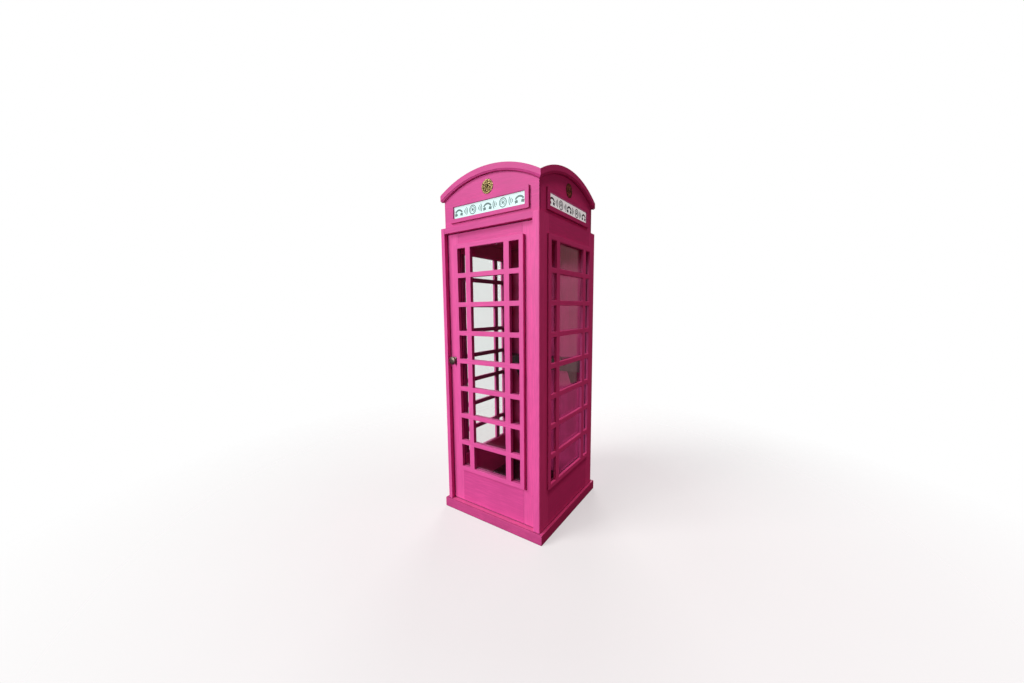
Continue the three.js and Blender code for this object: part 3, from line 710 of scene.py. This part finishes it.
def dress_walls(finish):
    """The body between plinth and sign box, with what closes it and the shelf inside."""
    for side in ("left", "right"):
        bars = f"glazing_bars_{side}"
        dress(bars, lattice_paint(f"bar_paint_{side}", PINK, bars, "y"), EDGE_SOFT)
        dress(f"lower_panel_{side}", finish["y"])
        dress(f"top_rail_{side}", finish["y"])
        dress(f"bearer_{side}", finish["inner"])
        dress(f"glass_{side}", finish["glass"], 0)
        dress(f"post_front_{side}", finish["z"])
        dress(f"post_back_{side}", finish["z"])
    # The back panel's inner face gets painted shade.
    low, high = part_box("back_panel")
    middle = (low.y + high.y) / 2
    dress("back_panel", brushed_paint("back_paint", PINK, "z", inside=middle))
    # The sill gets the paler paint, a painted highlight.
    dress("sill", finish["sill"])
    dress("head_front", finish["x"])
    dress("ceiling_board", finish["inner"])
    dress("roof_skin", finish["inner"], 0)
    dress("floor_deck", finish["floor"])
    dress("shelf", finish["shelf"])


def dress_door(finish):
    """The door with its stop, catch and hinges."""
    for node in ("door_stile_latch", "door_stile_hinge", "door_stop"):
        dress(node, finish["z"])
    for node in ("door_top_rail", "door_lower_panel"):
        dress(node, finish["x"])
    bars = "door_glazing_bars"
    dress(bars, lattice_paint("bar_paint_door", PINK, bars, "x"), EDGE_SOFT)
    dress("door_glass", finish["glass"], 0)
    dress("catch_plunger", finish["steel"], 0)
    dress("strike_plate", finish["steel"], 0)
    for number in (1, 2, 3):
        dress(f"hinge_{number}_post_leaf", finish["z"], EDGE_LEAF)
        dress(f"hinge_{number}_door_leaf", finish["z"], EDGE_LEAF)


def add_fittings(finish):
    """The fine pieces on the door and glass, and the telephone."""
    add_knob(finish["pewter"])
    add_glazing_beads(finish["z"])
    add_hinge_screws(finish["z"])
    add_strike_screws(finish["steel"])
    add_phone_shell(finish["plastic"])
    add_dial(finish["steel"], finish["card"], finish["ink"])
    add_handset(finish["plastic"])


# ---------- ornaments, signs and ironmongery ----------
def ornament_height(share, angle):
    """Height of the cast flower, for a share of its radius and an angle."""
    petals = ORNAMENT["petals"]
    lobe = abs(math.cos(petals * angle / 2)) ** 0.7
    between = abs(math.sin(petals * angle / 2)) ** 0.9
    bead = 0.55 + 0.45 * math.cos(petals * 5 * angle)
    rim = max(0.0, 1 - ((share - 0.91) / 0.08) ** 2) ** 0.5
    leaf = math.sin(math.pi * min(1.0, max(0.0, (share - 0.16) / 0.66))) ** 0.6
    vein = 1 - 0.35 * max(0.0, 1 - abs(math.sin(petals * angle / 2)) * 9)
    sepal = math.sin(math.pi * min(1.0, max(0.0, (share - 0.14) / 0.42))) ** 0.8
    boss = max(0.0, 1 - (share / 0.19) ** 2) ** 0.5
    base, petal = ORNAMENT["base"], ORNAMENT["petal"]
    height = base + ORNAMENT["rim"] * rim * bead
    height = max(height, base + petal * leaf * lobe * vein)
    height = max(height, base + 0.8 * petal * sepal * between)
    return max(height, ORNAMENT["boss"] * boss)


def add_ornament(side, material):
    """A cast flower in a beaded ring, over the round CAD plate."""
    low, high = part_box(f"rosette_{side}")
    radius = (high.z - low.z) / 2
    count, turns = ORNAMENT["rings"], ORNAMENT["turns"]
    loops = [[(radius * math.cos(a), radius * math.sin(a), 0.0)
              for a in (2 * math.pi * i / turns for i in range(turns))]]
    for k in range(count, 0, -1):
        share = k / count
        loop = []
        for i in range(turns):
            angle = 2 * math.pi * i / turns
            height = ornament_height(share, angle)
            loop.append((radius * share * math.cos(angle), radius * share * math.sin(angle), height))
        loops.append(loop)
    vertices, faces = rings(loops)
    place = face_frame(f"rosette_{side}", FACE_TURN[side])
    piece = add_piece(f"ornament_{side}", vertices, faces, material, "booth", place)
    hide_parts(f"rosette_{side}")


def dial_sign(u):
    """A ring round a hub, with ten dots for the finger holes."""
    outlines = [arc_band((u, 0), SIGN_DIAL["ring"], SIGN_STROKE, start, start + 180) for start in (0, 180)]
    outlines.append(disc((u, 0), SIGN_DIAL["hub"]))
    for place in range(DIAL["places"]):
        angle = math.radians(SIGN_DIAL["first_dot"] + DIAL_STEP * place)
        centre = (u + SIGN_DIAL["dots"] * math.cos(angle), SIGN_DIAL["dots"] * math.sin(angle))
        outlines.append(disc(centre, SIGN_DIAL["dot"], 12))
    return outlines


def handset_sign(u):
    """A receiver seen from the side: a bowed grip with a cup at each end."""
    centre = (u, -SIGN_GRIP["drop"])
    outlines = [arc_band(centre, SIGN_GRIP["radius"], SIGN_GRIP["width"], *SIGN_GRIP["ends"])]
    for side in (-1, 1):
        outlines.append([(u + side * x, v) for x, v in SIGN_CUP])
    return outlines


def waves_sign(u, facing):
    """Three sound waves that spread to the right, or to the left when facing is negative."""
    centre = (u - facing * SIGN_WAVES["back"], 0)
    middle, half = (0 if facing > 0 else 180), SIGN_WAVES["half_angle"]
    return [arc_band(centre, radius, SIGN_STROKE, middle - half, middle + half, 10)
            for radius in SIGN_WAVES["radii"]]


def add_sign_graphic(side, material):
    """Generic pictures of a receiver, a dial and ringing, in one row on the panel."""
    outlines = []
    for index, kind in enumerate(SIGN_ROW):
        u = (index - (len(SIGN_ROW) - 1) / 2) * SIGN_CELL
        if kind == "dial":
            outlines += dial_sign(u)
        elif kind == "handset":
            outlines += handset_sign(u)
        else:
            outlines += waves_sign(u, 1 if u < 0 else -1)
    place = face_frame(f"sign_panel_{side}", FACE_TURN[side], outer=True)
    shape = flat_solid(outlines, -INK_THICK / 2, INK_THICK)
    shape.piece(f"sign_graphic_{side}", material, "booth", "opal_panel", place, smooth=False)


def add_knob(material):
    """A turned knob on a beaded rose."""
    low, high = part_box("knob")
    radius, length = (high.x - low.x) / 2, high.y - low.y
    rose = radius * 0.8
    profile = [
        (AXIS, 0.0), (rose, 0.0), (rose, 0.0022), (rose * 0.95, 0.0040), (rose * 0.86, 0.0036),
        (rose * 0.80, 0.0052), (rose * 0.60, 0.0066), (rose * 0.46, 0.0078), (rose * 0.40, 0.0120),
        (rose * 0.36, length * 0.36), (rose * 0.44, length * 0.47), (radius * 0.62, length * 0.53),
        (radius * 0.90, length * 0.62), (radius, length * 0.74), (radius * 0.97, length * 0.85),
        (radius * 0.86, length * 0.92), (radius * 0.80, length * 0.925), (radius * 0.76, length * 0.955),
        (radius * 0.45, length * 0.99), (AXIS, length),
    ]
    place = face_frame("knob", FACE_TURN["front"])
    vertices, faces = turned(rounded(profile, 0.002, 3))
    piece = add_piece("knob_turned", vertices, faces, material, "door", place)
    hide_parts("knob")


def add_glazing_beads(paint):
    """Mitred beads that hold each glass sheet from the inside."""
    for name, glass, turn, body in (
        ("door", "door_glass", FACE_TURN["front"], "door"),
        ("left", "glass_left", FACE_TURN["left"], "booth"),
        ("right", "glass_right", FACE_TURN["right"], "booth"),
    ):
        low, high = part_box(glass)
        half_u = max(high.x - low.x, high.y - low.y) / 2
        half_v = (high.z - low.z) / 2
        depth = BEAD_DEPTH[name]
        centre = (BEAD["width"] - BEAD["round"], BEAD["round"] - depth)
        arc = arc_points(centre, BEAD["round"], -90, 0, 6)
        section = [(0.0, -BEAD["lap"]), (0.0, -depth)] + arc + [(BEAD["width"], -BEAD["lap"])]
        vertices, faces = mitred_frame(half_u, half_v, section)
        add_piece(f"inner_bead_{name}", vertices, faces, paint, body,
                  face_frame(glass, turn), smooth=False)


def slotted_head(radius):
    """A screw head with a slot, sunk in its hole and facing w."""
    slot = math.degrees(math.asin(SCREW["slot"]))
    halves = [arc_points((0, 0), radius, slot + turn, 180 - slot + turn, 14) for turn in (0, 180)]
    shape = flat_solid(halves, 0.0, SCREW["proud"])
    low, high = -SCREW["sunk"], SCREW["proud"] / 8
    shape.take(*turned([(AXIS, low), (radius, low), (radius, high), (AXIS, high)], 32))
    return shape


def add_screws(name, spots, out, radius, material, body, slot):
    """Slotted screws at some spots of one plate, each turned to a different angle."""
    shape = Shape()
    face = Vector(out).to_track_quat("Z", "Y").to_matrix().to_4x4()
    for index, spot in enumerate(spots):
        head = slotted_head(radius)
        angle = SCREW["first_turn"] + SCREW["next_turn"] * index
        turn = Matrix.Rotation(math.radians(angle), 4, "Z")
        shape.take(head.vertices, head.faces, Matrix.Translation(spot) @ face @ turn)
    return shape.piece(name, material, body, slot, smooth=False)


def add_hinge_screws(paint):
    """Three screws in each hinge leaf."""
    radius = LEAF["screw"]
    for number in (1, 2, 3):
        low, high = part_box(f"hinge_{number}_post_leaf")
        heights = [(low.z + high.z) / 2 + step * LEAF["spacing"] for step in (-1, 0, 1)]
        spots = [(high.x - LEAF["plate"], low.y + LEAF["flat"] / 2, z) for z in heights]
        add_screws(f"post_screws_{number}", spots, (-1, 0, 0), radius, paint, "booth", "pink_paint")
        low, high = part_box(f"hinge_{number}_door_leaf")
        spots = [(low.x + LEAF["flat"] / 2, high.y - LEAF["plate"], z) for z in heights]
        add_screws(f"door_screws_{number}", spots, (0, -1, 0), radius, paint, "door", "pink_paint")


def add_strike_screws(steel):
    low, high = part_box("strike_plate")
    middle = (low.y + high.y) / 2
    spots = [(high.x, middle, z) for z in (low.z + STRIKE["inset"], high.z - STRIKE["inset"])]
    add_screws("strike_screws", spots, (1, 0, 0), STRIKE["screw"], steel, "booth", "steel")


# ---------- telephone ----------
def inset(outline, distance):
    """The outline moved inwards. Its points run anticlockwise."""
    moved = []
    for before, point, after in zip(outline[-1:] + outline[:-1], outline, outline[1:] + outline[:1]):
        along = (Vector(after) - Vector(before)).normalized()
        moved.append((point[0] - along.y * distance, point[1] + along.x * distance))
    return moved


def rounded_outline(corners, radius, steps=5):
    """A closed outline with its corners rounded."""
    start = tuple((Vector(corners[0]) + Vector(corners[-1])) / 2)
    return rounded([start] + corners + [start], radius, steps)[:-1]


def pillow(outline, half, round_edge, steps=5):
    """A solid of one outline, along w from -half to half, with its end edges rounded."""
    loops = []
    for i in range(steps + 1):
        turn = math.pi / 2 * i / steps
        depth = round_edge * (1 - math.sin(turn))
        level = half - round_edge * (1 - math.cos(turn))
        loops.append([(u, v, level) for u, v in inset(outline, depth)])
    loops = loops[::-1]
    mirrored = [[(u, v, -w) for u, v, w in loop] for loop in loops[::-1]]
    return rings(mirrored + loops)


def dial_frame():
    """Axes at the dial: w along its spindle, outwards, and u to the right."""
    joint = next(j for j in frame["joints"] if j["name"] == "dial_turn")
    out = Vector(joint["axis"]).normalized()
    right = Vector((1.0, 0.0, 0.0))
    axes = Matrix((right, out.cross(right), out)).transposed().to_4x4()
    return Matrix.Translation(joint["pos_m"]) @ axes


def pierced_plate(outline, holes, thickness, round_edge):
    """A flat plate with holes through it and rounded edges, from w = 0 upwards."""
    curve = bpy.data.curves.new("plate", "CURVE")
    curve.dimensions = "2D"
    curve.fill_mode = "BOTH"
    curve.extrude = thickness / 2 - round_edge
    curve.bevel_depth = round_edge
    curve.bevel_resolution = 2
    curve.offset = -round_edge
    for points in [outline] + holes:
        spline = curve.splines.new("POLY")
        spline.points.add(len(points) - 1)
        for target, (u, v) in zip(spline.points, points):
            target.co = (u, v, 0.0, 1.0)
        spline.use_cyclic_u = True
    return flattened(curve, thickness / 2)


def flattened(curve, lift):
    """The vertices and faces that a curve or text makes, moved up, and the curve removed."""
    maker = bpy.data.objects.new("maker", curve)
    bpy.context.scene.collection.objects.link(maker)
    ready = maker.evaluated_get(bpy.context.evaluated_depsgraph_get())
    mesh = bpy.data.meshes.new_from_object(ready)
    vertices = [(v.co.x, v.co.y, v.co.z + lift) for v in mesh.vertices]
    faces = [list(face.vertices) for face in mesh.polygons]
    bpy.data.objects.remove(maker)
    bpy.data.meshes.remove(mesh)
    return vertices, faces


def case_form(half, depth):
    """The moulded case: upright at the back, sloping in front, with every edge rounded."""
    corners = [
        (-depth, PHONE["foot"]), (0.0, PHONE["foot"]), (0.0, PHONE["height"]),
        (PHONE["slope"] - depth, PHONE["height"]), (-depth, PHONE["nose"]),
    ]
    return pillow(rounded_outline(corners, PHONE["corner"]), half, PHONE["edge"])


def horn_form(x, y, bottom):
    """An upright horn of oval section, waisted and rounded at its tip."""
    half_x, half_y = HORN["half"]
    loops = []
    for share, spread in HORN_WAIST:
        level = bottom + share * HORN["height"]
        loops.append([(x + u * half_x * spread, y + v * half_y * spread, level)
                      for u, v in disc((0, 0), 1.0, 16)])
    return rings(loops)


def add_phone_shell(plastic):
    """The case with its feet, its saddle and the four horns that hold the handset."""
    low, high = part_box("phone_body")
    handset_low, handset_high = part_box("phone_handset")
    half, depth = (high.x - low.x) / 2, high.y - low.y
    middle = (handset_low.y + handset_high.y) / 2 - high.y
    shape = Shape()
    to_side = Matrix(((0, 0, 1, 0), (1, 0, 0, 0), (0, 1, 0, 0), (0, 0, 0, 1)))   # u to y, v to z, w to x
    shape.take(*case_form(half, depth), to_side)
    for side in (-1, 1):
        for y in (FOOT_INSET[1] - depth, -FOOT_INSET[1]):
            spot = (side * (half - FOOT_INSET[0]), y, 0.0)
            shape.take(*turned(FOOT_PROFILE, 24), Matrix.Translation(spot))
    saddle_x, saddle_y = SADDLE["half"]
    corners = [(-saddle_x, -saddle_y), (saddle_x, -saddle_y), (saddle_x, saddle_y), (-saddle_x, saddle_y)]
    saddle = pillow(rounded_outline(corners, SADDLE["corner"]), SADDLE["half_height"], SADDLE["edge"])
    shape.take(*saddle, Matrix.Translation((0.0, middle, PHONE["height"])))
    horn_x, horn_y = HORN["spot"]
    for x in (-horn_x, horn_x):
        for y in (middle - horn_y, middle + horn_y):
            shape.take(*horn_form(x, y, PHONE["height"] - HORN["sunk"]))
    origin = Matrix.Translation(((low.x + high.x) / 2, high.y, low.z))
    piece = shape.piece("phone_shell", plastic, "booth", "black_plastic", origin)
    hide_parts("phone_body")


def dial_places():
    """Centres of the finger holes, and of the digits seen through them."""
    angles = [math.radians(DIAL_STEP * (place + 1)) for place in range(DIAL["places"])]
    return [(DIAL["ring"] * math.cos(a), DIAL["ring"] * math.sin(a)) for a in angles]


def add_finger_wheel(metal_finish, card, place):
    """The wheel that turns, and the blank card in its hub."""
    holes = [disc(centre, DIAL["hole"], 28) for centre in dial_places()]
    wheel = Shape()
    wheel.take(*pierced_plate(disc((0, 0), DIAL["radius"], 96), holes, DIAL["thick"], DIAL["edge"]))
    wheel.take(*turned(DIAL_HUB, 48))
    piece = wheel.piece("dial_wheel", metal_finish, "dial", "dial_metal", place)
    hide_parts("phone_dial")
    label = Shape()
    label.take(*turned(DIAL_LABEL, 40))
    label.piece("dial_label", card, "dial", "opal_panel", place)


def add_dial_bezel(metal_finish, place):
    """The fixed rim round the wheel, with the finger stop on a short post."""
    bezel = Shape()
    bezel.take(*ring_form(DIAL_BEZEL, 72))
    for part, corners in (("arm", STOP_ARM), ("post", STOP_POST)):
        outline = rounded_outline(list(corners), STOP[f"{part}_corner"])
        solid = pillow(outline, STOP[f"{part}_half"], STOP["edge"])
        bezel.take(*solid, Matrix.Translation((0, 0, STOP[f"{part}_level"])))
    bezel.piece("dial_bezel", metal_finish, "booth", "dial_metal", place)


def add_dial_plate(card, ink, place):
    """The fixed plate under the wheel, and its digits from 1 to 0."""
    plate = Shape()
    plate.take(*turned(DIAL_PLATE, 64))
    plate.piece("dial_plate", card, "booth", "opal_panel", place)
    digits = Shape()
    for index, (u, v) in enumerate(dial_places()):
        text = bpy.data.curves.new("digit", "FONT")
        text.body = str((index + 1) % 10)
        text.size = DIGIT["size"]
        text.align_x = "CENTER"
        text.align_y = "CENTER"
        text.extrude = DIGIT["half_thick"]
        digits.take(*flattened(text, DIGIT["level"]), Matrix.Translation((u, v, 0.0)))
    digits.piece("dial_digits", ink, "booth", "black_plastic", place, smooth=False)


def add_dial(metal_finish, card, ink):
    place = dial_frame()
    add_finger_wheel(metal_finish, card, place)
    add_dial_bezel(metal_finish, place)
    add_dial_plate(card, ink, place)


def squared(value):
    """A sine or cosine that makes a circle slightly square."""
    return math.copysign(abs(value) ** GRIP["squareness"], value)


def grip_section(share):
    """Middle height and two half widths of the grip, at a share of the way to its end."""
    end = max(0.0, share - GRIP["closing"]) / (1 - GRIP["closing"])
    fullness = max(GRIP["tip"], math.sqrt(max(0.0, 1 - end ** 2.4)))
    top = GRIP["top"] - GRIP["top_drop"] * share ** 3.2
    bend = max(0.0, share - GRIP["straight"]) / (1 - GRIP["straight"])
    under = GRIP["under"] - GRIP["under_drop"] * bend ** 1.6
    half_y = (GRIP["half_width"] + GRIP["flare"] * share ** 3) * fullness
    return (top + under) / 2, half_y, (top - under) / 2 * fullness


def grip_form(reach):
    """The bowed grip, whose ends close inside the cups."""
    loops = []
    angles = [2 * math.pi * k / GRIP["sides"] for k in range(GRIP["sides"])]
    for i in range(GRIP["stations"] + 1):
        along = -1 + 2 * i / GRIP["stations"]
        middle, half_y, half_z = grip_section(abs(along))
        x = along * (reach + GRIP["past_cup"])
        loops.append([(x, half_y * squared(math.cos(a)), middle + half_z * squared(math.sin(a)))
                      for a in angles])
    return rings(loops)


def add_handset(plastic):
    """A receiver: a bowed grip between two flared cups."""
    low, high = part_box("phone_handset")
    reach = (high.x - low.x) / 2 - CUP_RADIUS
    shape = Shape()
    for side in (-1, 1):
        shape.take(*turned(CUP_PROFILE, 48), Matrix.Translation((side * reach, 0.0, 0.0)))
    shape.take(*grip_form(reach))
    origin = Matrix.Translation(((low.x + high.x) / 2, (low.y + high.y) / 2, low.z))
    piece = shape.piece("handset", plastic, "handset", "black_plastic", origin)
    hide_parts("phone_handset")


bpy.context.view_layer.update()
bpy.context.scene.view_settings.view_transform = "Standard"
place_camera()
light_world()
add_lights()
add_floor()
finishes = make_finishes()
dress_faces(finishes)
dress_walls(finishes)
dress_door(finishes)
add_fittings(finishes)
